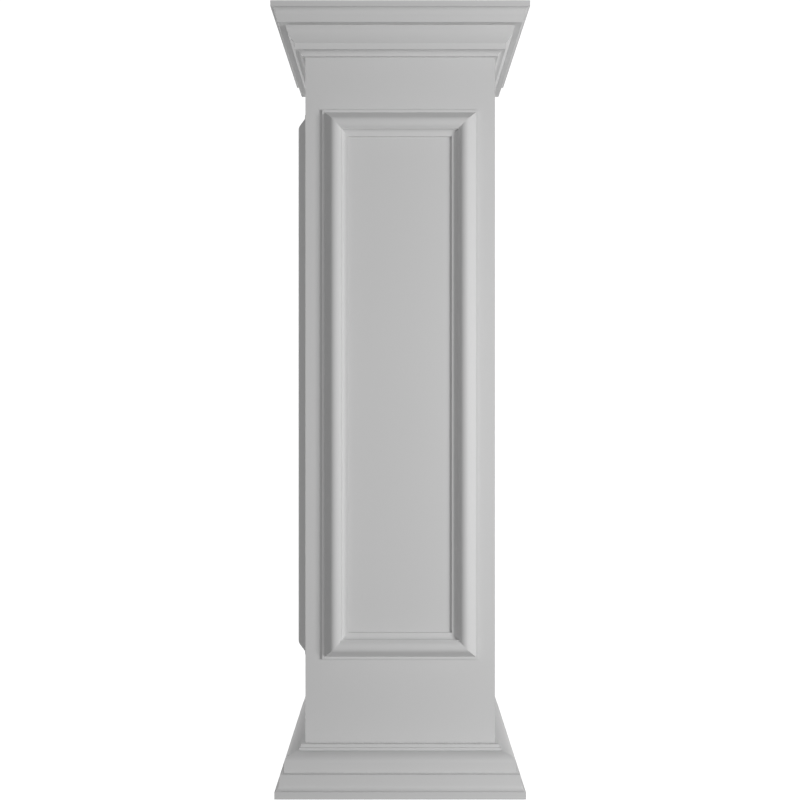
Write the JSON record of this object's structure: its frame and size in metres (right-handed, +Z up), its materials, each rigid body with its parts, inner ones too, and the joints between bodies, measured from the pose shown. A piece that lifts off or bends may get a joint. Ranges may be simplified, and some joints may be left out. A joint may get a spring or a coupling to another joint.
{
  "type": "newel post",
  "caption": "Square hollow box newel post with a mitred crown and base moulding and a moulded frame on two adjacent faces, open below to slip over a structural post.",
  "frame": {"origin": "on the floor at the post's vertical axis, the centre of the underside", "axes": "+Z up along the post; the panelled front face looks along -Y and the other panelled face along -X; the plain faces look along +X and +Y"},
  "size_m": [0.3958, 0.3958, 1.2192],
  "materials": {
    "boards": "matt off-white, smooth cellular PVC board",
    "cap": "matt off-white, smooth cellular PVC board",
    "crown": "matt off-white, moulded cellular PVC",
    "base": "matt off-white, moulded cellular PVC",
    "frames": "matt off-white, moulded cellular PVC"
  },
  "bodies": {
    "root": {"board_front": "boards", "board_right": "boards", "board_back": "boards", "board_left": "boards", "cap_board": "cap", "crown_front": "crown", "crown_right": "crown", "crown_back": "crown", "crown_left": "crown", "base_front": "base", "base_right": "base", "base_back": "base", "base_left": "base", "frame_front_top": "frames", "frame_front_right": "frames", "frame_front_bottom": "frames", "frame_front_left": "frames", "frame_left_top": "frames", "frame_left_right": "frames", "frame_left_bottom": "frames", "frame_left_left": "frames"}
  },
  "joints": []
}
